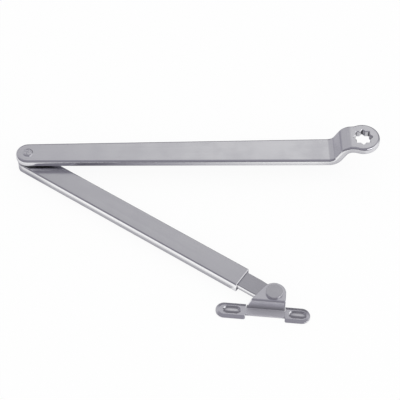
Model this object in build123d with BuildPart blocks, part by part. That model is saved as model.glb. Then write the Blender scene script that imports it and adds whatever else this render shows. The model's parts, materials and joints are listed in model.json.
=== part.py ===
from build123d import *
from math import cos, radians, sin, tan
import os

# Link arm set of a door closer: shoe, telescopic forearm and cranked main arm.
# Millimetres. The origin is midway between the shoe's two screw slots, on the
# face that lies against the door frame. X runs along the slots, Z is up.

# Shoe: one bent sheet
sheet = 1.5
bend_inside = 0.5
bend_outside = 1.2
slot_spacing = 45.0
slot_length = 11.0
slot_width = 5.0
slot_countersink = 0.7
slot_side_land = 0.5
slot_end_land = 0.1
left_lug_end = 5.7
lug_corner = 1.2
lug_slope_drop = 0.75
lug_slope_reach = 2.3
lug_edge_round = 0.4
strip_front = -2.8
wall_front = 2.65
left_wall_margin = 4.2
right_wall_margin = 3.4
ear_radius = 8.1
ear_flare = 37.4
ear_edge_round = 0.4
bend_relief = 0.3

# Shoe pivot
shoe_pin_diameter = 6.4
shoe_head_diameter = 11.7
shoe_head_height = 1.8
shoe_head_round = 0.45
shoe_tail_height = 1.4
shoe_tail_round = 0.7
shoe_tail_margin = 0.2
shoe_upper_washer_thickness = 2.8
shoe_lower_washer_thickness = 1.0
rod_bush_wall = 0.8
rod_eye_wall = 1.34

# Forearm: rod sliding in a flat tube
forearm_angle = -28.66
forearm_length = 213.7
tube_wall = 1.6
tube_corner = 1.0
tube_inner_corner = 0.4
mouth_break = 0.4
rod_width = 12.8
rod_thickness = 4.6
rod_show = 25.7
rod_tail = 20.0
rod_taper = 14.0
rod_edge_round = 0.5
rod_pull = 60.0
rod_push = 8.0

# Rod clamp
clamp_setback = 16.0
clamp_nut_length = 10.0
clamp_nut_thickness = 2.8
clamp_screw_diameter = 3.0
clamp_screw_break = 0.3
clamp_socket = 1.5
clamp_socket_depth = 1.6
clamp_screw_recess = 0.3

# Elbow pivot
elbow_pin_diameter = 8.0
elbow_shoulder = 1.0
elbow_head_lip = 2.5
elbow_head_height = 0.7
elbow_head_round = 0.35
elbow_bush_wall = 1.0
elbow_washer_lip = 1.0
elbow_upper_washer_thickness = 1.5
elbow_lower_washer_thickness = 0.4
elbow_block_length = 26.0
elbow_block_setback = 0.5
stake_flare = 0.7
stake_angle = 90.0
stake_crown = 0.35
stake_rim = 0.05
stake_dimple_radius = 0.8
stake_dimple_depth = 0.4

# Main arm
arm_angle = 6.25
arm_length = 245.0
arm_thickness = 5.7
arm_elbow_width = 17.8
arm_neck_width = 22.0
crank_rise = 14.0
crank_angle = 62.0
crank_end = 12.2
crank_lower_round = 5.0
crank_upper_round = 10.0
crank_seat_round = 4.3
eye_swell = 1.45
eye_blend = 8.0
star_square = 10.0
star_points = 8
star_tip_round = 0.4
star_break = 0.5
arm_edge_round = 1.7

# Clearances
fixed_gap = 0.02
turning_gap = 0.04
washer_gap = 0.15
slide_gap = 0.2
rod_side_gap = 0.25
block_gap = 0.05
thread_gap = 0.05
clamp_tip_gap = 0.05
clamp_nut_gap = 0.75
notch_gap = 0.5
swing_gap = 0.3
bend_gap = 0.2
base_gap = 0.6

# Shoe pivot stack, outwards from the pin
rod_bush_bore = shoe_pin_diameter + 2 * turning_gap
rod_bush_diameter = rod_bush_bore + 2 * rod_bush_wall
rod_eye_radius = rod_bush_diameter / 2 + fixed_gap + rod_eye_wall
shoe_washer_bore = shoe_pin_diameter + 2 * washer_gap
shoe_washer_diameter = 2 * (rod_eye_radius + swing_gap - bend_inside - bend_gap)
shoe_tail_diameter = shoe_washer_diameter - 2 * shoe_tail_margin

# Shoe plan: the wall ends a margin away from each slot, and the pivot clears the wall
slot_inner = (slot_spacing - slot_length) / 2
slot_outer = (slot_spacing + slot_length) / 2
lug_crest = slot_width / 2 + slot_countersink + slot_side_land
lug_round = lug_crest + lug_slope_reach
wall_left = left_wall_margin - slot_inner
wall_right = slot_inner - right_wall_margin
wall_back = wall_front + sheet
pivot_x = wall_right - ear_radius
pivot_y = wall_back + swing_gap + rod_eye_radius

# Levels from the mounting face upwards
shoe_tail_bottom = base_gap
shoe_stack_bottom = shoe_tail_bottom + shoe_tail_height
rod_bottom = shoe_stack_bottom + shoe_lower_washer_thickness
rod_top = rod_bottom + rod_thickness
rod_middle = (rod_top + rod_bottom) / 2
ear_bottom = rod_top + shoe_upper_washer_thickness
ear_top = ear_bottom + sheet
tube_inner_height = rod_thickness + 2 * slide_gap
tube_inner_width = rod_width + 2 * rod_side_gap
tube_height = tube_inner_height + 2 * tube_wall
tube_width = tube_inner_width + 2 * tube_wall
tube_top = rod_middle + tube_height / 2
tube_bottom = rod_middle - tube_height / 2
arm_bottom = tube_top + elbow_upper_washer_thickness
arm_top = arm_bottom + arm_thickness

# Local frames: the forearm and the main arm each run along their own X from the elbow
forearm_x = cos(radians(forearm_angle))
forearm_y = sin(radians(forearm_angle))
elbow_x = pivot_x - forearm_length * forearm_x
elbow_y = pivot_y - forearm_length * forearm_y
arm_x = cos(radians(arm_angle))
arm_y = sin(radians(arm_angle))
eye_x = elbow_x + arm_length * arm_x
eye_y = elbow_y + arm_length * arm_y

pivot_plane = Plane(origin=(pivot_x, pivot_y, 0))
elbow_plane = Plane(origin=(elbow_x, elbow_y, 0))
forearm_plane = Plane(origin=(elbow_x, elbow_y, 0), x_dir=(forearm_x, forearm_y, 0), z_dir=(0, 0, 1))
forearm_section = Plane(
    origin=(elbow_x, elbow_y, rod_middle), x_dir=(-forearm_y, forearm_x, 0), z_dir=(forearm_x, forearm_y, 0)
)
forearm_axis = Axis((elbow_x, elbow_y, 0), (forearm_x, forearm_y, 0))
arm_plane = Plane(origin=(elbow_x, elbow_y, 0), x_dir=(arm_x, arm_y, 0), z_dir=(0, 0, 1))
arm_side = Plane(origin=(elbow_x, elbow_y, arm_bottom), x_dir=(arm_x, arm_y, 0), z_dir=(arm_y, -arm_x, 0))


def corners(sketch, *places):
    """The sketch's corner points nearest to the given places."""
    return [sketch.vertices().sort_by_distance(place)[0] for place in places]


# Shoe bracket: base with two slotted lugs, wall and ear, bent from one sheet
ear_reach = pivot_y + ear_radius
ear_flat = wall_front + bend_outside + bend_inside
left_lug_inner = wall_left - bend_relief
right_lug_inner = wall_right + bend_relief
right_lug_end = slot_countersink + slot_end_land + lug_slope_reach
left_lug_centre = lug_round - slot_outer - left_lug_end
right_lug_centre = slot_outer + right_lug_end - lug_round
lug_edge_level = sheet - lug_slope_drop
lugs = ((left_lug_inner, left_lug_centre, -1), (right_lug_inner, right_lug_centre, 1))
strip_back = wall_front - bend_inside
flare_normal = radians(180 - ear_flare)
flare_start_x = pivot_x + ear_radius * cos(flare_normal)
flare_start_y = pivot_y + ear_radius * sin(flare_normal)
bend_left = flare_start_x - (flare_start_y - wall_back) * tan(radians(ear_flare))


def edges_at(made, level):
    """The edges that lie flat at one level."""
    return made.edges().filter_by_position(Axis.Z, level - fixed_gap, level + fixed_gap)


def on_ear(edge):
    """True for an edge of the ear beyond its bend."""
    return edge.center().Y > ear_flat


def on_lug(edge):
    """True for an edge of a lug, away from the strip between the lugs."""
    return not left_lug_inner - lug_corner < edge.center().X < right_lug_inner + lug_corner


def on_slot(edge):
    """True for an edge of a screw slot."""
    along = abs(abs(edge.center().X) - slot_spacing / 2)
    return along < slot_length / 2 and abs(edge.center().Y) < slot_width / 2 + fixed_gap


with BuildPart() as shoe_bracket:
    with BuildSketch(Plane.YZ.offset(wall_left)) as sheet_profile:
        with BuildLine():
            Polyline(
                (strip_front, 0),
                (wall_back, 0),
                (wall_back, ear_bottom),
                (ear_reach, ear_bottom),
                (ear_reach, ear_top),
                (wall_front, ear_top),
                (wall_front, sheet),
                (strip_front, sheet),
                close=True,
            )
        make_face()
        fillet(corners(sheet_profile, (wall_back, 0), (wall_front, ear_top)), radius=bend_outside)
        fillet(corners(sheet_profile, (wall_back, ear_bottom), (wall_front, sheet)), radius=bend_inside)
    extrude(amount=wall_right - wall_left)

    with BuildSketch():
        with BuildLine():
            Line((wall_right, strip_front), (wall_right, pivot_y))
            ThreePointArc(
                (wall_right, pivot_y), (pivot_x, ear_reach), (flare_start_x, flare_start_y)
            )
            Polyline(
                (flare_start_x, flare_start_y),
                (bend_left, wall_back),
                (wall_left, wall_back),
                (wall_left, strip_front),
                (wall_right, strip_front),
            )
        make_face()
    extrude(amount=ear_top, mode=Mode.INTERSECT)
    with BuildSketch(Plane.XZ.offset(-wall_back)):
        with BuildLine():
            Polyline((wall_left, sheet), (bend_left, ear_top), (wall_left, ear_top), close=True)
        make_face()
    extrude(amount=wall_back - strip_front, mode=Mode.SUBTRACT)

    fillet(edges_at(shoe_bracket, ear_top).filter_by(on_ear), ear_edge_round)

    with BuildSketch():
        with Locations(((left_lug_inner + right_lug_inner) / 2, (strip_front + strip_back) / 2)):
            Rectangle(right_lug_inner - left_lug_inner, strip_back - strip_front)
    extrude(amount=sheet)

    for inner, centre, side in lugs:
        for level, radius in ((0, lug_round), (lug_edge_level, lug_round), (sheet, lug_crest)):
            with BuildSketch(Plane.XY.offset(level)) as outline:
                with BuildLine():
                    Polyline((centre, radius), (inner, radius), (inner, -radius), (centre, -radius))
                    ThreePointArc((centre, -radius), (centre + side * radius, 0), (centre, radius))
                make_face()
                fillet(corners(outline, (inner, -radius)), radius=lug_corner)
        loft(ruled=True)
    fillet(edges_at(shoe_bracket, lug_edge_level).filter_by(on_lug), lug_edge_round)

    with BuildSketch():
        with GridLocations(slot_spacing, 0, 2, 1):
            SlotOverall(slot_length, slot_width)
    extrude(amount=sheet, mode=Mode.SUBTRACT)
    chamfer(edges_at(shoe_bracket, sheet).filter_by(on_slot), slot_countersink)

    with BuildSketch(pivot_plane.offset(ear_bottom)):
        Circle(shoe_pin_diameter / 2 + fixed_gap)
    extrude(amount=sheet, mode=Mode.SUBTRACT)

# Shoe rivet: wide flat head on the ear, tail formed over the lower washer
with BuildPart() as shoe_rivet:
    with BuildSketch(pivot_plane.offset(shoe_tail_bottom)):
        Circle(shoe_tail_diameter / 2)
    extrude(amount=shoe_tail_height)
    fillet(shoe_rivet.edges().group_by(Axis.Z)[0], shoe_tail_round)
    with BuildSketch(pivot_plane.offset(shoe_stack_bottom)):
        Circle(shoe_pin_diameter / 2)
    extrude(amount=ear_top - shoe_stack_bottom)
    with BuildSketch(pivot_plane.offset(ear_top)):
        Circle(shoe_head_diameter / 2)
    extrude(amount=shoe_head_height)
    fillet(shoe_rivet.edges().group_by(Axis.Z)[-1], shoe_head_round)


def ring(plane, bottom, height, outer_diameter, inner_diameter):
    """A plain ring standing on the given level: a washer or a bush."""
    with BuildPart() as made:
        with BuildSketch(plane.offset(bottom)):
            Circle(outer_diameter / 2)
            Circle(inner_diameter / 2, mode=Mode.SUBTRACT)
        extrude(amount=height)
    return made


shoe_upper_washer = ring(
    pivot_plane, rod_top, shoe_upper_washer_thickness, shoe_washer_diameter, shoe_washer_bore
)
shoe_lower_washer = ring(
    pivot_plane, shoe_stack_bottom, shoe_lower_washer_thickness, shoe_washer_diameter, shoe_washer_bore
)
rod_bush = ring(pivot_plane, rod_bottom, rod_thickness, rod_bush_diameter, rod_bush_bore)

# Adjusting rod: flat bar with an eye, and a notch along its hidden edge for the clamp nut
tube_reach = forearm_length - rod_show
clamp_place = tube_reach - clamp_setback
clamp_nut_outer = tube_inner_width / 2 - block_gap
clamp_nut_inner = clamp_nut_outer - clamp_nut_thickness
notch_start = clamp_place - clamp_nut_length / 2 - rod_pull - notch_gap
notch_end = clamp_place + clamp_nut_length / 2 + rod_push + notch_gap
notch_face = clamp_nut_inner - clamp_nut_gap
notch_depth = rod_width / 2 - notch_face
rod_start = notch_start - rod_tail
rod_taper_start = forearm_length - rod_taper

with BuildPart() as adjusting_rod:
    with BuildSketch(forearm_plane.offset(rod_bottom)):
        with BuildLine():
            Polyline(
                (forearm_length, rod_eye_radius),
                (rod_taper_start, rod_width / 2),
                (rod_start, rod_width / 2),
                (rod_start, -rod_width / 2),
                (rod_taper_start, -rod_width / 2),
                (forearm_length, -rod_eye_radius),
            )
            ThreePointArc(
                (forearm_length, -rod_eye_radius),
                (forearm_length + rod_eye_radius, 0),
                (forearm_length, rod_eye_radius),
            )
        make_face()
    extrude(amount=rod_thickness)
    rod_rims = adjusting_rod.edges().group_by(Axis.Z)
    fillet(rod_rims[0] + rod_rims[-1], rod_edge_round)
    with BuildSketch(forearm_plane.offset(rod_bottom)):
        with Locations(((notch_start + notch_end) / 2, rod_width / 2)):
            Rectangle(notch_end - notch_start, 2 * notch_depth)
    extrude(amount=rod_thickness, mode=Mode.SUBTRACT)
    with BuildSketch(pivot_plane.offset(rod_bottom)):
        Circle(rod_bush_diameter / 2 + fixed_gap)
    extrude(amount=rod_thickness, mode=Mode.SUBTRACT)

# Forearm tube: flat tube, round in plan at the elbow, square at the mouth
elbow_bush_bore = elbow_pin_diameter + 2 * turning_gap
elbow_bush_diameter = elbow_bush_bore + 2 * elbow_bush_wall
tube_end_round = tube_width / 2
clamp_hole_radius = clamp_screw_diameter / 2 + washer_gap
clamp_screw_plane = Plane(
    origin=(
        elbow_x + clamp_place * forearm_x,
        elbow_y + clamp_place * forearm_y,
        rod_middle,
    ),
    x_dir=(forearm_x, forearm_y, 0),
    z_dir=(-forearm_y, forearm_x, 0),
)

with BuildPart() as forearm_tube:
    with BuildSketch(forearm_section.offset(-tube_end_round)):
        RectangleRounded(tube_width, tube_height, tube_corner)
        RectangleRounded(tube_inner_width, tube_inner_height, tube_inner_corner, mode=Mode.SUBTRACT)
    extrude(amount=tube_end_round + tube_reach)
    with BuildSketch(forearm_plane.offset(tube_bottom)):
        Circle(tube_end_round)
        with Locations((tube_reach / 2, 0)):
            Rectangle(tube_reach, tube_width)
    extrude(amount=tube_height, mode=Mode.INTERSECT)
    mouth = forearm_tube.faces().sort_by(forearm_axis)[-1]
    chamfer(mouth.outer_wire().edges(), mouth_break)
    with BuildSketch(elbow_plane.offset(tube_bottom)):
        Circle(elbow_bush_diameter / 2 + fixed_gap)
    extrude(amount=tube_height, mode=Mode.SUBTRACT)
    with BuildSketch(clamp_screw_plane):
        Circle(clamp_hole_radius)
    extrude(amount=tube_width, mode=Mode.SUBTRACT)

# Elbow block: fills the tube's end so that the riveted pin can't crush it
block_nose = tube_end_round - elbow_block_setback

with BuildPart() as elbow_block:
    with BuildSketch(forearm_section.offset(-block_nose)):
        RectangleRounded(
            tube_inner_width - 2 * block_gap, tube_inner_height - 2 * block_gap, tube_inner_corner
        )
    extrude(amount=block_nose + elbow_block_length)
    with BuildSketch(forearm_plane.offset(tube_bottom)):
        Circle(block_nose)
        with Locations((elbow_block_length / 2, 0)):
            Rectangle(elbow_block_length, tube_width)
    extrude(amount=tube_height, mode=Mode.INTERSECT)
    with BuildSketch(elbow_plane.offset(tube_bottom)):
        Circle(elbow_bush_diameter / 2 + fixed_gap)
    extrude(amount=tube_height, mode=Mode.SUBTRACT)

elbow_bush = ring(elbow_plane, tube_bottom, tube_height, elbow_bush_diameter, elbow_bush_bore)
elbow_head_diameter = elbow_pin_diameter + 2 * elbow_head_lip
elbow_washer_diameter = elbow_head_diameter + 2 * elbow_washer_lip
elbow_washer_bore = elbow_pin_diameter + 2 * washer_gap
elbow_upper_washer = ring(
    elbow_plane, tube_top, elbow_upper_washer_thickness, elbow_washer_diameter, elbow_washer_bore
)
elbow_lower_washer = ring(
    elbow_plane,
    tube_bottom - elbow_lower_washer_thickness,
    elbow_lower_washer_thickness,
    elbow_washer_diameter,
    elbow_washer_bore,
)

# Clamp nut: plate inside the tube's hidden side wall, in the rod's notch
clamp_nut_height = tube_inner_height - 2 * block_gap

with BuildPart() as clamp_nut:
    with BuildSketch(clamp_screw_plane.offset(clamp_nut_inner)):
        Rectangle(clamp_nut_length, clamp_nut_height)
        Circle(clamp_screw_diameter / 2 + thread_gap, mode=Mode.SUBTRACT)
    extrude(amount=clamp_nut_thickness)
    clamp_nut_seat = clamp_nut.faces().sort_by(Axis(clamp_screw_plane.origin, clamp_screw_plane.z_dir))[-1]
    chamfer(clamp_nut_seat.outer_wire().edges(), tube_inner_corner)

# Clamp screw: socket grub screw, its tip on the rod and its end just inside the tube's side
clamp_tip = notch_face + clamp_tip_gap
clamp_end = tube_width / 2 - clamp_screw_recess

with BuildPart() as clamp_screw:
    with BuildSketch(clamp_screw_plane.offset(clamp_tip)):
        Circle(clamp_screw_diameter / 2)
    extrude(amount=clamp_end - clamp_tip)
    chamfer(clamp_screw.edges().filter_by(GeomType.CIRCLE), clamp_screw_break)
    with BuildSketch(clamp_screw_plane.offset(clamp_end)):
        RegularPolygon(clamp_socket / 2, 6, major_radius=False)
    extrude(amount=-clamp_socket_depth, mode=Mode.SUBTRACT)

# Elbow rivet: flat head below, shank in the bush, upper end staked into the main arm
elbow_head_top = tube_bottom - elbow_lower_washer_thickness
stake_neck_diameter = elbow_pin_diameter - 2 * elbow_shoulder
stake_diameter = stake_neck_diameter + 2 * stake_flare
stake_depth = stake_flare / tan(radians(stake_angle / 2))

with BuildPart() as elbow_rivet:
    with BuildSketch(elbow_plane.offset(elbow_head_top - elbow_head_height)):
        Circle(elbow_head_diameter / 2)
    extrude(amount=elbow_head_height)
    fillet(elbow_rivet.edges().group_by(Axis.Z)[0], elbow_head_round)
    with BuildSketch(elbow_plane.offset(elbow_head_top)):
        Circle(elbow_pin_diameter / 2)
    extrude(amount=arm_bottom - elbow_head_top)
    with BuildSketch(elbow_plane.offset(arm_bottom)):
        Circle(stake_neck_diameter / 2)
    extrude(amount=arm_thickness - stake_depth)
    with BuildSketch(elbow_plane.offset(arm_top - stake_depth)):
        Circle(stake_neck_diameter / 2)
    with BuildSketch(elbow_plane.offset(arm_top)):
        Circle(stake_diameter / 2)
    loft()
    with BuildSketch(elbow_plane.offset(arm_top)):
        Circle(stake_diameter / 2)
    extrude(amount=stake_crown)
    fillet(elbow_rivet.edges().group_by(Axis.Z)[-1], stake_crown - stake_rim)
    with BuildSketch(elbow_plane.offset(arm_top + stake_crown)):
        Circle(stake_dimple_radius)
    extrude(amount=-stake_dimple_depth, mode=Mode.SUBTRACT)

# Main arm: tapered flat bar, cranked up to the spindle eye
arm_direction = Vector(arm_x, arm_y, 0)
steepest_face = cos(radians(crank_angle)) / 2


def bend_line(edge):
    """True for an edge that runs straight across the bar, where a bend begins or ends."""
    return edge.geom_type == GeomType.LINE and abs(edge.tangent_at().dot(arm_direction)) < steepest_face


def top_or_bottom(face):
    """True for a face of the bar's upper or lower side, the crank's slopes among them."""
    return abs(face.normal_at().Z) > steepest_face


def on_socket(edge):
    """True for an edge of the spindle socket."""
    away = edge.center() - Vector(eye_x, eye_y, edge.center().Z)
    return away.length < star_square / 2 ** 0.5


crank_start_s = arm_length - crank_end - crank_rise / tan(radians(crank_angle))
crank_end_s = arm_length - crank_end
crank_shift = arm_thickness / 2 * tan(radians(crank_angle / 2))
crank_foot_below = (crank_start_s + crank_shift, 0)
crank_foot_above = (crank_start_s - crank_shift, arm_thickness)
crank_head_below = (crank_end_s + crank_shift, crank_rise)
crank_head_above = (crank_end_s - crank_shift, crank_rise + arm_thickness)
eye_radius = arm_neck_width / 2 + eye_swell
eye_neck = arm_length - (eye_radius**2 - (arm_neck_width / 2) ** 2) ** 0.5
arm_reach = arm_length + eye_radius
elbow_round = arm_elbow_width / 2

with BuildPart() as main_arm:
    with BuildSketch(arm_plane.offset(arm_bottom)) as arm_plan:
        with BuildLine():
            Polyline(
                (0, elbow_round),
                (crank_start_s, arm_neck_width / 2),
                (arm_length, arm_neck_width / 2),
                (arm_length, -arm_neck_width / 2),
                (crank_start_s, -arm_neck_width / 2),
                (0, -elbow_round),
            )
            ThreePointArc((0, -elbow_round), (-elbow_round, 0), (0, elbow_round))
        make_face()
        with Locations((arm_length, 0)):
            Circle(eye_radius)
        fillet(
            corners(arm_plan, (eye_neck, arm_neck_width / 2), (eye_neck, -arm_neck_width / 2)),
            radius=eye_blend,
        )
    extrude(amount=arm_thickness + crank_rise)
    with BuildSketch(arm_side) as arm_profile:
        with BuildLine():
            Polyline(
                (-arm_reach, 0),
                crank_foot_below,
                crank_head_below,
                (2 * arm_reach, crank_rise),
                (2 * arm_reach, crank_rise + arm_thickness),
                crank_head_above,
                crank_foot_above,
                (-arm_reach, arm_thickness),
                close=True,
            )
        make_face()
        fillet(corners(arm_profile, crank_foot_below), radius=crank_lower_round + arm_thickness)
        fillet(corners(arm_profile, crank_foot_above), radius=crank_lower_round)
        fillet(corners(arm_profile, crank_head_below), radius=crank_seat_round)
        fillet(corners(arm_profile, crank_head_above), radius=crank_upper_round)
    extrude(amount=arm_neck_width + eye_radius, both=True, mode=Mode.INTERSECT)
    long_edges = main_arm.faces().filter_by(top_or_bottom).edges()
    fillet(long_edges.filter_by(bend_line, reverse=True), arm_edge_round)

    with BuildSketch(arm_plane.offset(arm_bottom)) as star:
        with Locations((arm_length, 0)):
            Rectangle(star_square, star_square)
            Rectangle(star_square, star_square, rotation=360 / star_points)
        tips = star.vertices().sort_by_distance((arm_length, 0))[-star_points:]
        fillet(tips, radius=star_tip_round)
    extrude(amount=arm_thickness + crank_rise, mode=Mode.SUBTRACT)
    for level in (arm_bottom + crank_rise, arm_top + crank_rise):
        chamfer(edges_at(main_arm, level).filter_by(on_socket), star_break)
    with Locations((elbow_x, elbow_y, arm_top)):
        CounterSinkHole(
            stake_neck_diameter / 2 + fixed_gap,
            stake_diameter / 2 + fixed_gap,
            depth=arm_thickness,
            counter_sink_angle=stake_angle,
        )

os.makedirs("parts", exist_ok=True)
for name, made in {
    "shoe_bracket": shoe_bracket,
    "shoe_rivet": shoe_rivet,
    "shoe_upper_washer": shoe_upper_washer,
    "shoe_lower_washer": shoe_lower_washer,
    "rod_bush": rod_bush,
    "adjusting_rod": adjusting_rod,
    "forearm_tube": forearm_tube,
    "elbow_block": elbow_block,
    "elbow_bush": elbow_bush,
    "elbow_upper_washer": elbow_upper_washer,
    "elbow_lower_washer": elbow_lower_washer,
    "clamp_nut": clamp_nut,
    "clamp_screw": clamp_screw,
    "elbow_rivet": elbow_rivet,
    "main_arm": main_arm,
}.items():
    made.part.label = name
    export_step(made.part, f"parts/{name}.step")
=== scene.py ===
import json
import math

import bmesh
import bpy
from mathutils import Matrix, Vector
from mathutils.noise import noise as unevenness


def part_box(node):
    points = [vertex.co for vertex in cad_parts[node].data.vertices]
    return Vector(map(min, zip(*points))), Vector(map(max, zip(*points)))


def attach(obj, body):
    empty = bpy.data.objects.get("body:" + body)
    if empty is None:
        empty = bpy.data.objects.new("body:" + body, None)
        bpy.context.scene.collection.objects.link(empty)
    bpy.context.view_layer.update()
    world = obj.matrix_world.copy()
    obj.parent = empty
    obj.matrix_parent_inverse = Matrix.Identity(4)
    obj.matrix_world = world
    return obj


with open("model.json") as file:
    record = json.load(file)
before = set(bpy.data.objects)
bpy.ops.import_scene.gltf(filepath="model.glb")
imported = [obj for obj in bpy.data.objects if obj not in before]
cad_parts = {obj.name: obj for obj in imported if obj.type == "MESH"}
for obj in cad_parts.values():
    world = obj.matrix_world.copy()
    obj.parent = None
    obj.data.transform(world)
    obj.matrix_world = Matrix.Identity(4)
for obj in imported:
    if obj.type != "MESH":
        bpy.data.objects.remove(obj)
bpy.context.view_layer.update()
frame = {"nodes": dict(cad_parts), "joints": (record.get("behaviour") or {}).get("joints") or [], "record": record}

# Shoe bracket: one blank of 1.5 mm steel sheet, punched, bent twice and plated in satin silver.
# Two screws through its slotted lugs hold it to the door frame.
# The lugs' tops slope outwards from the slots, and the slots are countersunk.
nodes = frame["nodes"]
satin_silver = (0.830, 0.825, 0.858, 1.0)
satin_shade = (0.765, 0.760, 0.795, 1.0)
rubbed_silver = (0.880, 0.878, 0.892, 1.0)


def new_group(name, inputs, outputs):
    """Empty shader node group with named sockets. Gives it, what goes into it and what comes out."""
    group = bpy.data.node_groups.new(name, "ShaderNodeTree")
    for label, kind, value in inputs:
        socket = group.interface.new_socket(label, in_out="INPUT", socket_type=kind)
        if value is not None:
            socket.default_value = value
    for label, kind in outputs:
        group.interface.new_socket(label, in_out="OUTPUT", socket_type=kind)
    start = group.nodes.new("NodeGroupInput")
    end = group.nodes.new("NodeGroupOutput")
    return group, start.outputs, end.inputs


def fill(tree, socket, value):
    """Links a socket to another node's output, or sets it to a fixed number, vector or colour."""
    if isinstance(value, bpy.types.NodeSocket):
        tree.links.new(value, socket)
    else:
        socket.default_value = value


def place(tree, kind, **settings):
    """New node in a tree, with its properties set and its sockets filled."""
    node = tree.nodes.new(kind)
    for key, value in settings.items():
        if key in node.inputs:
            fill(tree, node.inputs[key], value)
        else:
            setattr(node, key, value)
    return node


def math_node(tree, operation, *values):
    """Math node on links or numbers. Gives its output."""
    node = place(tree, "ShaderNodeMath", operation=operation)
    for socket, value in zip(node.inputs, values):
        fill(tree, socket, value)
    return node.outputs[0]


def product(tree, first, *others):
    """Links and numbers multiplied together. Gives the output."""
    for other in others:
        first = math_node(tree, "MULTIPLY", first, other)
    return first


def vector_node(tree, operation, *values):
    """Vector math node on links or fixed vectors. Gives its outputs."""
    node = place(tree, "ShaderNodeVectorMath", operation=operation)
    for socket, value in zip(node.inputs, values):
        fill(tree, socket, value)
    return node.outputs


def ramp(tree, value, low, high, out_low=0.0, out_high=1.0):
    """Smooth step of a value between two levels. Gives its output."""
    node = place(tree, "ShaderNodeMapRange", interpolation_type="SMOOTHSTEP", Value=value)
    for label, number in (("From Min", low), ("From Max", high), ("To Min", out_low), ("To Max", out_high)):
        node.inputs[label].default_value = number
    return node.outputs["Result"]


# The brushing runs in long fine lines, with a few wider streaks among them.
brushed_lines, start, end = new_group(
    "brushed_lines",
    (("Vector", "NodeSocketVector", None), ("Angle", "NodeSocketFloat", 0.0)),
    (("Lines", "NodeSocketFloat"), ("Streaks", "NodeSocketFloat")),
)
along_brush = place(
    brushed_lines, "ShaderNodeVectorRotate",
    rotation_type="Z_AXIS", Vector=start["Vector"], Angle=start["Angle"]).outputs["Vector"]
for label, along, across, detail in (("Lines", 45.0, 5200.0, 3.0), ("Streaks", 9.0, 900.0, 2.0)):
    stretched = vector_node(brushed_lines, "MULTIPLY", along_brush, (along, across, across))["Vector"]
    scratches = place(
        brushed_lines, "ShaderNodeTexNoise", Vector=stretched, Scale=1.0, Detail=detail, Roughness=0.55)
    brushed_lines.links.new(scratches.outputs[0], end[label])

# Handling leaves soft clouds, duller and clearer, a finger's breadth across, and fine specks.
handling_clouds, start, end = new_group(
    "handling_clouds",
    (("Vector", "NodeSocketVector", None), ("Size", "NodeSocketFloat", 60.0)),
    (("Clouds", "NodeSocketFloat"), ("Specks", "NodeSocketFloat")),
)
for label, size, detail, grain, low, high in (
    ("Clouds", start["Size"], 4.0, 0.55, 0.35, 0.68),
    ("Specks", 1900.0, 2.0, 0.60, 0.62, 0.78),
):
    spots = place(
        handling_clouds, "ShaderNodeTexNoise",
        Vector=start["Vector"], Scale=size, Detail=detail, Roughness=grain)
    handling_clouds.links.new(ramp(handling_clouds, spots.outputs[0], low, high), end[label])

# Edges are rubbed brighter, in patches, where hands and the door's other half touch them.
edge_rub, start, end = new_group(
    "edge_rub",
    (("Vector", "NodeSocketVector", None), ("Width", "NodeSocketFloat", 0.0006)),
    (("Rub", "NodeSocketFloat"),),
)
rounded = place(edge_rub, "ShaderNodeBevel", samples=6, Radius=start["Width"]).outputs["Normal"]
true_face = place(edge_rub, "ShaderNodeNewGeometry").outputs["Normal"]
edge_turn = vector_node(edge_rub, "DOT_PRODUCT", rounded, true_face)["Value"]
patches = place(
    edge_rub, "ShaderNodeTexNoise", Vector=start["Vector"], Scale=420.0, Detail=3.0, Roughness=0.6)
on_edge = ramp(edge_rub, edge_turn, 0.995, 0.90)
in_patch = ramp(edge_rub, patches.outputs[0], 0.40, 0.62, 0.25, 1.0)
edge_rub.links.new(product(edge_rub, on_edge, in_patch), end["Rub"])


def effect(tree, group, **sockets):
    """Places a shared effect in a material. Gives its outputs."""
    return place(tree, "ShaderNodeGroup", node_tree=group, **sockets).outputs


def mix_colour(tree, factor, first, second):
    """Mix of two colours, each a link or a fixed colour. Gives its output."""
    node = place(tree, "ShaderNodeMix", data_type="RGBA")
    for socket, value in ((node.inputs[0], factor), (node.inputs[6], first), (node.inputs[7], second)):
        fill(tree, socket, value)
    return node.outputs[2]


def metal_base(name, roughness):
    """New material with a metal shader, and the object's own coordinates."""
    material = bpy.data.materials.new(name)
    material.use_nodes = True
    tree = material.node_tree
    shader = tree.nodes["Principled BSDF"].inputs
    shader["Metallic"].default_value = 1.0
    shader["Roughness"].default_value = roughness
    position = place(tree, "ShaderNodeTexCoord").outputs["Object"]
    return material, tree, shader, position


def add_relief(tree, height, strength, depth, invert=False):
    """Fine relief on a material, from a link that gives its height."""
    bump = place(tree, "ShaderNodeBump", Strength=strength, Distance=depth, Height=height, invert=invert)
    tree.links.new(bump.outputs["Normal"], tree.nodes["Principled BSDF"].inputs["Normal"])


def paint(material, mask, colour, share=1.0):
    """Mixes a share of a colour over a material's own, as far as a mask says."""
    tree = material.node_tree
    base = tree.nodes["Principled BSDF"].inputs["Base Color"]
    tree.links.new(mix_colour(tree, product(tree, mask, share), base.links[0].from_socket, colour), base)


def roughen(material, mask, amount):
    """Adds to a material's roughness, as far as a mask says."""
    tree = material.node_tree
    base = tree.nodes["Principled BSDF"].inputs["Roughness"]
    tree.links.new(math_node(tree, "MULTIPLY_ADD", mask, amount, base.links[0].from_socket), base)


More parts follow.
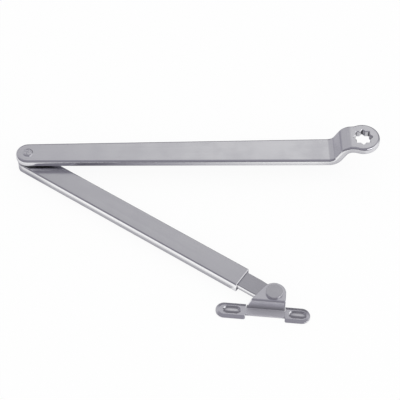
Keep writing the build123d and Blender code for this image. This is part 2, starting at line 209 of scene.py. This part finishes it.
def satin_plating(name, angle, silver=satin_silver, shade=satin_shade, roughness=0.18):
    """Satin silver plating over steel brushed along one direction, given as an angle about Z."""
    streak_share, cloud_share, rub_share = 0.25, 0.15, 0.55
    polish, cloud_dullness, line_dullness = 0.05, 0.07, 0.06
    material, tree, shader, position = metal_base(name, roughness)
    brushing = effect(tree, brushed_lines, Vector=position, Angle=-angle)
    handling = effect(tree, handling_clouds, Vector=position, Size=55.0)
    wear = effect(tree, edge_rub, Vector=position, Width=0.0005)
    streaked = ramp(tree, brushing["Streaks"], 0.34, 0.66)
    clouded = product(tree, handling["Clouds"], cloud_share)
    tone = math_node(tree, "MULTIPLY_ADD", streaked, streak_share, clouded)
    tree.links.new(mix_colour(tree, tone, silver, shade), shader["Base Color"])
    paint(material, wear["Rub"], rubbed_silver, rub_share)
    dull = math_node(tree, "MULTIPLY_ADD", handling["Clouds"], cloud_dullness, roughness - polish)
    tree.links.new(dull, shader["Roughness"])
    roughen(material, brushing["Lines"], line_dullness)
    add_relief(tree, brushing["Lines"], strength=0.15, depth=0.00003)
    return material


def parts_of(tree, coordinate):
    """X, Y and Z of a texture coordinate, such as the object's own place or its normal."""
    vector = place(tree, "ShaderNodeTexCoord").outputs[coordinate]
    return place(tree, "ShaderNodeSeparateXYZ", Vector=vector).outputs


def give_finish(material, *names):
    """Sets the finish of one or more of the part's pieces."""
    for name in names:
        nodes[name].material_slots[0].material = material


# The base before the wall is rougher than the rest of the plating, and painted paler: a painted light on its
# upward face.
# The foot of the wall is painted darker, a painted shade in the corner.
strip_left, strip_right = -0.0128, 0.0136
strip_back, strip_top = 0.0026, 0.0015
strip_blend = 0.0004
strip_painted_light = (0.985, 0.980, 1.0, 1.0)
matte_roughness = 0.48
painted_shade_black = (0.0, 0.0, 0.0, 1.0)
painted_shade_depth, painted_shade_top = 0.50, 0.0090
shoe_plating = satin_plating("shoe_plating", 0.0, roughness=0.21)
tree = shoe_plating.node_tree
on_shoe = parts_of(tree, "Object")
rough_and_lit_strip = ramp(tree, on_shoe["Z"], strip_top + strip_blend, strip_top + strip_blend / 2)
for axis, edge, inwards in (("X", strip_left, 1), ("X", strip_right, -1), ("Y", strip_back, -1)):
    rough_and_lit_strip = product(tree, rough_and_lit_strip, ramp(tree, on_shoe[axis], edge, edge + inwards * strip_blend))
# Painted light: the base between the lugs and the wall is painted paler.
paint(shoe_plating, rough_and_lit_strip, strip_painted_light)
roughen(shoe_plating, rough_and_lit_strip, matte_roughness)
# Painted shade: the front of the wall darkens towards its foot.
facing_front = ramp(tree, parts_of(tree, "Normal")["Y"], -0.5, -0.9)
shaded_foot = ramp(tree, on_shoe["Z"], painted_shade_top, strip_top, 0.0, painted_shade_depth)
on_wall = ramp(tree, on_shoe["Y"], strip_back - strip_blend, strip_back - strip_blend / 2)
paint(shoe_plating, product(tree, facing_front, shaded_foot, on_wall), painted_shade_black)
give_finish(shoe_plating, "shoe_bracket")

# Shoe rivet and its two washers: the pin that the rod turns on, with a wide turned head on the ear.
# Its tail is formed cold over the steel washer below the rod.
# A nylon washer keeps the ear and the rod apart.
joints = {joint["name"]: joint for joint in frame["joints"]}
pivot_x, pivot_y = joints["shoe_pivot"]["pos_m"][:2]
turned_silver = (0.740, 0.737, 0.760, 1.0)
turned_shade = (0.640, 0.637, 0.665, 1.0)
nylon_grey = (0.060, 0.060, 0.065, 1.0)
nylon_shade = (0.045, 0.045, 0.050, 1.0)
dust_grey = (0.16, 0.16, 0.16, 1.0)
dust_share = 0.4

turned_rings, start, end = new_group(
    "turned_rings",
    (("Vector", "NodeSocketVector", None), ("Centre", "NodeSocketVector", None)),
    (("Rings", "NodeSocketFloat"), ("Radius", "NodeSocketFloat")),
)
from_centre = vector_node(turned_rings, "SUBTRACT", start["Vector"], start["Centre"])["Vector"]
level_part = vector_node(turned_rings, "MULTIPLY", from_centre, (1.0, 1.0, 0.0))["Vector"]
from_axis = vector_node(turned_rings, "LENGTH", level_part)["Value"]
height = place(turned_rings, "ShaderNodeSeparateXYZ", Vector=from_centre).outputs["Z"]
ring_place = place(turned_rings, "ShaderNodeCombineXYZ", X=from_axis, Z=height).outputs[0]
ring_marks = place(
    turned_rings, "ShaderNodeTexNoise", Vector=ring_place, Scale=3600.0, Detail=3.0, Roughness=0.6)
turned_rings.links.new(ring_marks.outputs[0], end["Rings"])
turned_rings.links.new(from_axis, end["Radius"])


def turned_steel(name, centre, silver=turned_silver, shade=turned_shade, roughness=0.26):
    """Plated steel turned or pressed about an upright axis, with fine rings about that axis."""
    ring_share, cloud_share, rub_share = 0.4, 0.45, 0.5
    polish, ring_dullness = 0.04, 0.08
    material, tree, shader, position = metal_base(name, roughness)
    turning = effect(tree, turned_rings, Vector=position, Centre=centre)
    handling = effect(tree, handling_clouds, Vector=position, Size=150.0)
    wear = effect(tree, edge_rub, Vector=position, Width=0.0004)
    ringed = ramp(tree, turning["Rings"], 0.35, 0.65)
    clouded = product(tree, handling["Clouds"], cloud_share)
    tone = math_node(tree, "MULTIPLY_ADD", ringed, ring_share, clouded)
    tree.links.new(mix_colour(tree, tone, silver, shade), shader["Base Color"])
    paint(material, wear["Rub"], rubbed_silver, rub_share)
    worn = math_node(tree, "MULTIPLY_ADD", turning["Rings"], ring_dullness, roughness - polish)
    tree.links.new(worn, shader["Roughness"])
    add_relief(tree, turning["Rings"], strength=0.3, depth=0.00004)
    return material


def clouded_finish(name, size, colours, roughness, strength, invert=False):
    """Finish in clouds of two colours, one duller than the other, and a mask of its fine specks."""
    material, tree, shader, position = metal_base(name, roughness[0])
    handling = effect(tree, handling_clouds, Vector=position, Size=size)
    tree.links.new(mix_colour(tree, handling["Clouds"], *colours), shader["Base Color"])
    tree.links.new(ramp(tree, handling["Clouds"], 0.0, 1.0, *roughness), shader["Roughness"])
    add_relief(tree, handling["Specks"], strength, depth=0.00003, invert=invert)
    return material, handling["Specks"]


def grey_nylon(name):
    """Moulded dark grey nylon, with paler dust rubbed into it."""
    material, specks = clouded_finish(
        name, 220.0, (nylon_grey, nylon_shade), roughness=(0.42, 0.56), strength=0.2)
    material.node_tree.nodes["Principled BSDF"].inputs["Metallic"].default_value = 0.0
    paint(material, specks, dust_grey, dust_share)
    return material


shoe_pin_steel = turned_steel("shoe_pin_steel", (pivot_x, pivot_y, 0.0))
washer_nylon = grey_nylon("washer_nylon")
give_finish(shoe_pin_steel, "shoe_rivet", "shoe_lower_washer")
give_finish(washer_nylon, "shoe_upper_washer")

# Adjusting rod: flat bar that slides in the forearm tube and sets the forearm's length.
# Drawn steel, plated like the tube but painted darker, a painted shade, with a bronze bush pressed into its eye.
slide_x, slide_y = joints["rod_slide"]["axis"][:2]
forearm_angle = math.atan2(-slide_y, -slide_x)
rod_shaded_silver = (0.610, 0.606, 0.636, 1.0)
rod_shaded_dark = (0.555, 0.551, 0.583, 1.0)
side_highlight_silver = (0.965, 0.962, 0.975, 1.0)
highlight_low, highlight_high = 0.0043, 0.0066
bronze = (0.55, 0.38, 0.20, 1.0)
bronze_shade = (0.46, 0.31, 0.16, 1.0)
oil_brown = (0.14, 0.09, 0.05, 1.0)
oil_share = 0.6


def upright_faces(tree, leaning, upright):
    """Mask of the faces that stand upright, between two levels of how far their normals lean."""
    lean = math_node(tree, "ABSOLUTE", parts_of(tree, "Normal")["Z"])
    return ramp(tree, lean, leaning, upright)


def paint_side_highlight(material):
    """Paints a highlight on the narrow sides of a flat bar or tube, in their upper half."""
    tree = material.node_tree
    highlighted_half = ramp(tree, parts_of(tree, "Object")["Z"], highlight_low, highlight_high)
    paint(material, product(tree, upright_faces(tree, 0.4, 0.15), highlighted_half), side_highlight_silver)


def sintered_bronze(name):
    """Bearing bronze pressed from powder: fine pores, with oil in them."""
    material, specks = clouded_finish(
        name, 300.0, (bronze, bronze_shade), roughness=(0.34, 0.46), strength=0.3, invert=True)
    paint(material, specks, oil_brown, oil_share)
    return material


# The rod's silver is painted darker than the tube's: painted shade.
rod_plating = satin_plating("rod_plating", forearm_angle, rod_shaded_silver, rod_shaded_dark)
# Painted highlight on the rod's narrow sides.
paint_side_highlight(rod_plating)
bush_bronze = sintered_bronze("bush_bronze")
give_finish(rod_plating, "adjusting_rod")
give_finish(bush_bronze, "rod_bush")

# Forearm tube: flat rectangular steel tube, brushed along its length and plated.
# A filler block in its closed end keeps the riveted elbow from crushing it.
# A bronze bush runs through both.
tube_silver = (0.748, 0.745, 0.772, 1.0)
tube_shade = (0.686, 0.682, 0.712, 1.0)
tube_plating = satin_plating("tube_plating", forearm_angle, tube_silver, tube_shade)
# Painted highlight on the tube's narrow sides.
paint_side_highlight(tube_plating)
block_steel = satin_plating("block_steel", forearm_angle + math.pi / 2, roughness=0.36)
give_finish(tube_plating, "forearm_tube")
give_finish(block_steel, "elbow_block")
give_finish(bush_bronze, "elbow_bush")

# Clamp screw and nut: a socket grub screw through the tube's narrow side, in a nut plate inside it.
# Both are blackened steel, oiled, and the screw's tip bears on the rod.
black_steel = (0.085, 0.085, 0.092, 1.0)
black_shade = (0.055, 0.055, 0.060, 1.0)
bare_grey = (0.32, 0.32, 0.34, 1.0)
bare_share = 0.6


def black_oxide(name):
    """Blackened steel with a film of oil, rubbed to grey at the edges."""
    material, _ = clouded_finish(
        name, 260.0, (black_steel, black_shade), roughness=(0.32, 0.46), strength=0.2)
    tree = material.node_tree
    position = place(tree, "ShaderNodeTexCoord").outputs["Object"]
    wear = effect(tree, edge_rub, Vector=position, Width=0.00025)
    paint(material, wear["Rub"], bare_grey, bare_share)
    return material


clamp_black = black_oxide("clamp_black")
give_finish(clamp_black, "clamp_nut", "clamp_screw")

# Main arm: flat steel bar, cranked up to a round eye, with a double-square socket for the closer's spindle.
# Forged and ground, brushed along its length and plated, with a painted highlight on its narrow sides near the
# crank.
# The socket is broached after plating, so its walls are greyer and rougher, with painted shade in its notches.
mounts = {mount["name"]: mount for mount in frame["record"]["mounts"]}
eye_x, eye_y = mounts["spindle_eye"]["pos_m"][:2]
elbow_x, elbow_y = joints["elbow_pivot"]["pos_m"][:2]
arm_angle = math.atan2(eye_y - elbow_y, eye_x - elbow_x)
arm_silver = (0.788, 0.784, 0.815, 1.0)
arm_shade = (0.727, 0.722, 0.755, 1.0)
crank_highlight_start = (0.014, 0.020)
crank_highlight_end = (0.15, 0.04)
socket_reach, socket_blend = 0.0074, 0.0002
notch_start, notch_end = 0.0062, 0.0068
broached_grey = (0.75, 0.75, 0.77, 1.0)
notch_painted_shade = (0.16, 0.16, 0.17, 1.0)
broached_roughness = 0.2
arm_plating = satin_plating("arm_plating", arm_angle, arm_silver, arm_shade)
tree = arm_plating.node_tree
on_arm = place(tree, "ShaderNodeTexCoord").outputs["Object"]
from_eye = effect(tree, turned_rings, Vector=on_arm, Centre=(eye_x, eye_y, 0.0))["Radius"]
upright = upright_faces(tree, 0.6, 0.3)
# Painted highlight on the arm's narrow sides near the crank.
crank_side_highlight = product(tree, ramp(tree, from_eye, *crank_highlight_start), ramp(tree, from_eye, *crank_highlight_end), upright)
paint(arm_plating, crank_side_highlight, side_highlight_silver)
broached = product(tree, ramp(tree, from_eye, socket_reach, socket_reach - socket_blend), upright)
# Painted shade, darkest in the socket's notches.
notch_shade = ramp(tree, from_eye, notch_start, notch_end)
paint(arm_plating, broached, mix_colour(tree, notch_shade, broached_grey, notch_painted_shade))
roughen(arm_plating, broached, broached_roughness)
give_finish(arm_plating, "main_arm")

# Elbow pin and its washers: a pin through tube and arm, its head below and its end staked over on the arm.
# A nylon washer keeps arm and tube apart, and a thin steel washer lies on the head.
elbow_pin_steel = turned_steel("elbow_pin_steel", (elbow_x, elbow_y, 0.0), arm_silver, arm_shade)
give_finish(elbow_pin_steel, "elbow_rivet", "elbow_lower_washer")
give_finish(washer_nylon, "elbow_upper_washer")

# Peened end: the pin's upper end, hammered over until it spread on the arm.
# The hammer leaves a low, lumpy button of the pin's own steel, with an uneven rim.
peen_radius = 0.0039
peen_rise, peen_drop = 0.0003, 0.0008
peen_lump, peen_grain = 0.00022, 620.0
rim_width, rim_wander, rim_grain = 0.0012, 0.0003, 2.0
peen_rings, peen_spokes = 24, 72
peen_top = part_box("elbow_rivet")[1][2]
peened = bmesh.new()
rows = []
for ring in range(1, peen_rings + 1):
    row = []
    for spoke in range(peen_spokes):
        bearing = math.tau * spoke / peen_spokes
        outwards = Vector((math.cos(bearing), math.sin(bearing), 0.0))
        reach = peen_radius + rim_wander * unevenness(outwards * rim_grain)
        radius = reach * ring / peen_rings
        spot = Vector((elbow_x, elbow_y, 0.0)) + outwards * radius
        rim = max(0.0, (radius - peen_radius) / rim_width + 1.0) ** 2
        lump = peen_lump * unevenness(spot * peen_grain) * max(0.0, 1.0 - rim)
        spot.z = peen_top + peen_rise + lump - peen_drop * rim
        row.append(peened.verts.new(spot))
    rows.append(row)
middle = peened.verts.new((elbow_x, elbow_y, peen_top + peen_rise))
for spoke in range(peen_spokes):
    beside = (spoke + 1) % peen_spokes
    peened.faces.new((middle, rows[0][spoke], rows[0][beside]))
    for inner, outer in zip(rows, rows[1:]):
        peened.faces.new((inner[spoke], outer[spoke], outer[beside], inner[beside]))
underside = peened.faces.new(reversed(rows[-1]))
for face in peened.faces:
    face.smooth = True
underside.smooth = False
peened_mesh = bpy.data.meshes.new("peened_end")
peened.to_mesh(peened_mesh)
peened.free()
peened_mesh.materials.append(elbow_pin_steel)
peened_end = bpy.data.objects.new("peened_end", peened_mesh)
bpy.context.scene.collection.objects.link(peened_end)
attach(peened_end, "main_arm")

# Studio floor: white paper under the part, which shows white to the camera with a soft shadow on it.
# The plating mirrors it with the shades and lights that lie on it round the part.
# Distances before the forearm are measured level, from its middle line towards the front.
floor_half, floor_level = 6.0, -0.0002
paper_grey = (0.86, 0.86, 0.86, 1.0)
white_paper = (1.0, 1.0, 1.0, 1.0)
cool_shade = (0.89, 0.865, 1.0, 1.0)
shade_cool, shade_white = 0.2, 0.8
glow_seen = 0.92
floor_corners = [
    (side * floor_half, depth * floor_half, floor_level)
    for side, depth in ((-1, -1), (1, -1), (1, 1), (-1, 1))
]
floor_mesh = bpy.data.meshes.new("studio_floor")
floor_mesh.from_pydata(floor_corners, [], [(0, 1, 2, 3)])
studio_floor = bpy.data.objects.new("studio_floor", floor_mesh)
bpy.context.scene.collection.objects.link(studio_floor)


def mirrored_rays(tree, rays):
    """Mask of the rays that come by way of metal or glass, from a Light Path node's outputs."""
    return math_node(tree, "MAXIMUM", rays["Is Glossy Ray"], rays["Is Transmission Ray"])


def mix_shaders(tree, factor, first, second):
    """Mix of two shaders. Gives its output."""
    node = place(tree, "ShaderNodeMixShader")
    for socket, value in zip(node.inputs, (factor, first, second)):
        fill(tree, socket, value)
    return node.outputs[0]


floor_paper = bpy.data.materials.new("floor_paper")
floor_paper.use_nodes = True
tree = floor_paper.node_tree
tree.nodes.remove(tree.nodes["Principled BSDF"])
rays = place(tree, "ShaderNodeLightPath").outputs
mirrored = mirrored_rays(tree, rays)
on_floor = place(tree, "ShaderNodeTexCoord").outputs["Object"]
floor_parts = place(tree, "ShaderNodeSeparateXYZ", Vector=on_floor).outputs
floor_x, floor_y = floor_parts["X"], floor_parts["Y"]
across_forearm = Vector((-math.sin(forearm_angle), math.cos(forearm_angle), 0.0))
forearm_line = Vector((elbow_x, elbow_y, 0.0)).dot(across_forearm)
beyond_origin = vector_node(tree, "DOT_PRODUCT", on_floor, across_forearm)["Value"]
before_forearm = math_node(tree, "SUBTRACT", forearm_line, beyond_origin)

# Close to the part less of the sky reaches the paper.
shade_reach, shade_depth = 0.050, 2.4
shade_lean = (-0.12, -0.25, 0.96)
lean = place(tree, "ShaderNodeCombineXYZ", X=shade_lean[0], Y=shade_lean[1], Z=shade_lean[2]).outputs[0]
open_sky = place(tree, "ShaderNodeAmbientOcclusion", samples=8, Distance=shade_reach, Normal=lean)
light = math_node(tree, "POWER", open_sky.outputs["AO"], shade_depth)

# Light from the front falls on the paper before the tube and, from the tube's mouth on, before the rod.
# It fades towards the shoe.
tube_middle, tube_foot = (0.004, 0.008), (0.0110, 0.0130)
under_tube, before_tube = 0.08, 1.0
fade_right, fade_left = -0.004, -0.014
right_light, left_light = 0.15, 0.90
rod_foot, tube_mouth = (0.0080, 0.0098), (-0.0268, -0.0255)
rod_light = 0.95
front_line = (0.003, 0.006)
tube_glow = product(
    tree,
    ramp(tree, before_forearm, *tube_middle),
    ramp(tree, before_forearm, *tube_foot, under_tube, before_tube),
    ramp(tree, floor_x, fade_right, fade_left, right_light, left_light))
rod_glow = product(
    tree, ramp(tree, before_forearm, *rod_foot, 0.0, rod_light), ramp(tree, floor_x, *tube_mouth))
glow = product(tree, math_node(tree, "MAXIMUM", tube_glow, rod_glow), ramp(tree, floor_y, *front_line))
light = math_node(tree, "MULTIPLY_ADD", math_node(tree, "SUBTRACT", 1.0, light), glow, light)

# The fold between the two arms lies in shade, deeper towards the elbow.
# So does the paper under the elbow and before the eye, in round patches.
fold_blend = 0.02
fold_right, fold_left = 0.03, -0.13
fold_least, fold_most = 0.06, 0.40
patch_core, patch_shade = 0.012, 0.25
elbow_patch = (elbow_x, elbow_y, 0.030)
eye_patch = (eye_x - 0.005, eye_y - 0.030, 0.026)
in_fold = product(
    tree,
    ramp(tree, before_forearm, 0.0, -fold_blend),
    ramp(tree, floor_x, fold_right, fold_left, fold_least, fold_most))
for patch_x, patch_y, reach in (elbow_patch, eye_patch):
    away = vector_node(tree, "DISTANCE", on_floor, (patch_x, patch_y, floor_level))["Value"]
    in_fold = math_node(tree, "MAXIMUM", in_fold, ramp(tree, away, reach, patch_core, 0.0, patch_shade))

# Painted shade on the paper, as the metal sees it: before the shoe, and behind the main arm.
painted_front_side, painted_front_edge, painted_front_depth = (-0.045, -0.025), (0.0, -0.012), 0.7
back_edge, back_end, back_shade = (0.150, 0.170), (0.06, 0.02), 0.42
painted_front_shade = product(tree, ramp(tree, floor_x, *painted_front_side), ramp(tree, floor_y, *painted_front_edge, 0.0, painted_front_depth))
behind_arm = product(tree, ramp(tree, floor_y, *back_edge, 0.0, back_shade), ramp(tree, floor_x, *back_end))

# Through the shoe's slots the camera sees the paper in the sheet's shade, deeper towards the front.
mm = 0.001
slots = mounts["shoe_slots"]["dims"]
slot_middle = slots["spacing_x_mm"] * mm / 2
slot_half = slots["slot_length_mm"] * mm / 2
slot_radius = slots["hole_r_mm"] * mm
slot_blend = 0.0005
slot_back, slot_front = 0.0010, -0.0008
slot_back_shade, slot_front_shade = 0.25, 0.85
from_slot = math_node(tree, "SUBTRACT", math_node(tree, "ABSOLUTE", floor_x), slot_middle)
seen_slot = product(
    tree,
    ramp(tree, math_node(tree, "ABSOLUTE", from_slot), slot_half + slot_blend, slot_half),
    ramp(tree, math_node(tree, "ABSOLUTE", floor_y), slot_radius + slot_blend, slot_radius),
    rays["Is Camera Ray"])
slot_depth = ramp(tree, floor_y, slot_back, slot_front, slot_back_shade, slot_front_shade)

deepest_shade = 0.18
for shadow in (in_fold, painted_front_shade, behind_arm, product(tree, seen_slot, slot_depth)):
    light = product(tree, light, math_node(tree, "SUBTRACT", 1.0, shadow))
light = math_node(tree, "MAXIMUM", light, deepest_shade)
tint = mix_colour(tree, ramp(tree, light, shade_cool, shade_white), cool_shade, white_paper)
tinted = math_node(tree, "MAXIMUM", mirrored, seen_slot)
clear = math_node(tree, "SUBTRACT", rays["Is Camera Ray"], tinted)
paper = place(tree, "ShaderNodeBsdfDiffuse", Color=paper_grey).outputs[0]
white = place(tree, "ShaderNodeEmission", Color=white_paper, Strength=1.0).outputs[0]
shade = place(tree, "ShaderNodeEmission", Color=tint, Strength=light).outputs[0]
lit = mix_shaders(tree, product(tree, clear, glow_seen), paper, white)
tree.links.new(mix_shaders(tree, tinted, lit, shade), tree.nodes["Material Output"].inputs["Surface"])
floor_mesh.materials.append(floor_paper)

# Studio light: a bright field above and behind the part, a dim wall to the left, and a softbox to the right.
# These show only in the metal, because to all other rays the sky is plain white.
# One lamp, a small softbox, stands at the front right.
cool_sky = (0.97, 0.945, 1.09, 1.0)
white_sky = (1.0, 1.0, 1.0, 1.0)
sky_cool, sky_white = 0.2, 0.7
wall_right, wall_left, wall_light = -0.22, -0.60, 0.50
front_low, front_high = 0.10, 0.95
low_light, high_light = 0.20, 0.30
front_end, back_start = -0.10, 0.35
softbox_way = Vector((0.92, -0.05, 0.38)).normalized()
softbox_rim, softbox_core, softbox_light = 0.78, 0.96, 0.80


def mix_level(tree, factor, first, second):
    """Mix of two levels, each a link or a number. Gives its output."""
    node = place(tree, "ShaderNodeMix", data_type="FLOAT")
    for socket, value in ((node.inputs[0], factor), (node.inputs[2], first), (node.inputs[3], second)):
        fill(tree, socket, value)
    return node.outputs[0]


world = bpy.data.worlds.new("studio")
world.use_nodes = True
bpy.context.scene.world = world
tree = world.node_tree
mirrored = mirrored_rays(tree, place(tree, "ShaderNodeLightPath").outputs)
skyward = place(tree, "ShaderNodeTexCoord").outputs["Generated"]
sky_parts = place(tree, "ShaderNodeSeparateXYZ", Vector=skyward).outputs
across, depth, rise = sky_parts["X"], sky_parts["Y"], sky_parts["Z"]
# Edges of the bright field, lower, upper, left and right, each from its start to its end and their light.
field = product(
    tree,
    ramp(tree, rise, 0.28, 0.66, 0.08, 0.80),
    ramp(tree, rise, 0.74, 0.88, 1.00, 0.52),
    ramp(tree, across, -0.26, 0.02, 0.65, 1.00),
    ramp(tree, across, 0.04, 0.13, 1.00, 0.62))
behind = math_node(tree, "MAXIMUM", field, ramp(tree, across, wall_right, wall_left, 0.0, wall_light))
before = ramp(tree, rise, front_low, front_high, low_light, high_light)
level = mix_level(tree, ramp(tree, depth, front_end, back_start), before, behind)
toward_softbox = vector_node(tree, "DOT_PRODUCT", skyward, softbox_way)["Value"]
in_softbox = ramp(tree, toward_softbox, softbox_rim, softbox_core)
level = math_node(tree, "MULTIPLY_ADD", in_softbox, softbox_light, level)
level = math_node(tree, "MINIMUM", level, 1.0)
whiteness = math_node(
    tree, "MAXIMUM", ramp(tree, level, sky_cool, sky_white), math_node(tree, "SUBTRACT", 1.0, mirrored))
sky = tree.nodes["Background"].inputs
tree.links.new(mix_colour(tree, whiteness, cool_sky, white_sky), sky["Color"])
tree.links.new(mix_level(tree, mirrored, 1.0, level), sky["Strength"])

key = bpy.data.lights.new("key_softbox", "AREA")
key.shape = "RECTANGLE"
key.size = 0.5
key.size_y = 0.35
key.energy = 1.2
key_lamp = bpy.data.objects.new("key_softbox", key)
bpy.context.scene.collection.objects.link(key_lamp)
key_place = Vector((0.75, -0.45, 0.75))
facing_origin = key_place.to_track_quat("Z", "Y").to_matrix().to_4x4()
key_lamp.matrix_world = Matrix.Translation(key_place) @ facing_origin

bpy.context.scene.view_settings.view_transform = "Standard"

# Camera: the photograph's own viewpoint, a long lens from the front and above.
# Its place and lens were fitted to the outlines of the arms, the eye and the shoe.
sensor_width = 36.0
focal_pixels = 1289.204
image_width = 400.0
camera_distance = 0.9302
camera_azimuth = math.radians(5.488)
camera_elevation = math.radians(52.177)
camera_target = Vector((-0.052701, 0.087265, 0.008))
back = Vector((
    math.sin(camera_azimuth) * math.cos(camera_elevation),
    -math.cos(camera_azimuth) * math.cos(camera_elevation),
    math.sin(camera_elevation),
))
right = Vector((math.cos(camera_azimuth), math.sin(camera_azimuth), 0.0))
up = back.cross(right)
lens = bpy.data.cameras.new("photo_camera")
lens.sensor_fit = "HORIZONTAL"
lens.sensor_width = sensor_width
lens.lens = focal_pixels / image_width * sensor_width
lens.clip_start = 0.01
photo_camera = bpy.data.objects.new("photo_camera", lens)
bpy.context.scene.collection.objects.link(photo_camera)
turned = Matrix((right, up, back)).transposed().to_4x4()
photo_camera.matrix_world = Matrix.Translation(camera_target + camera_distance * back) @ turned
bpy.context.scene.camera = photo_camera
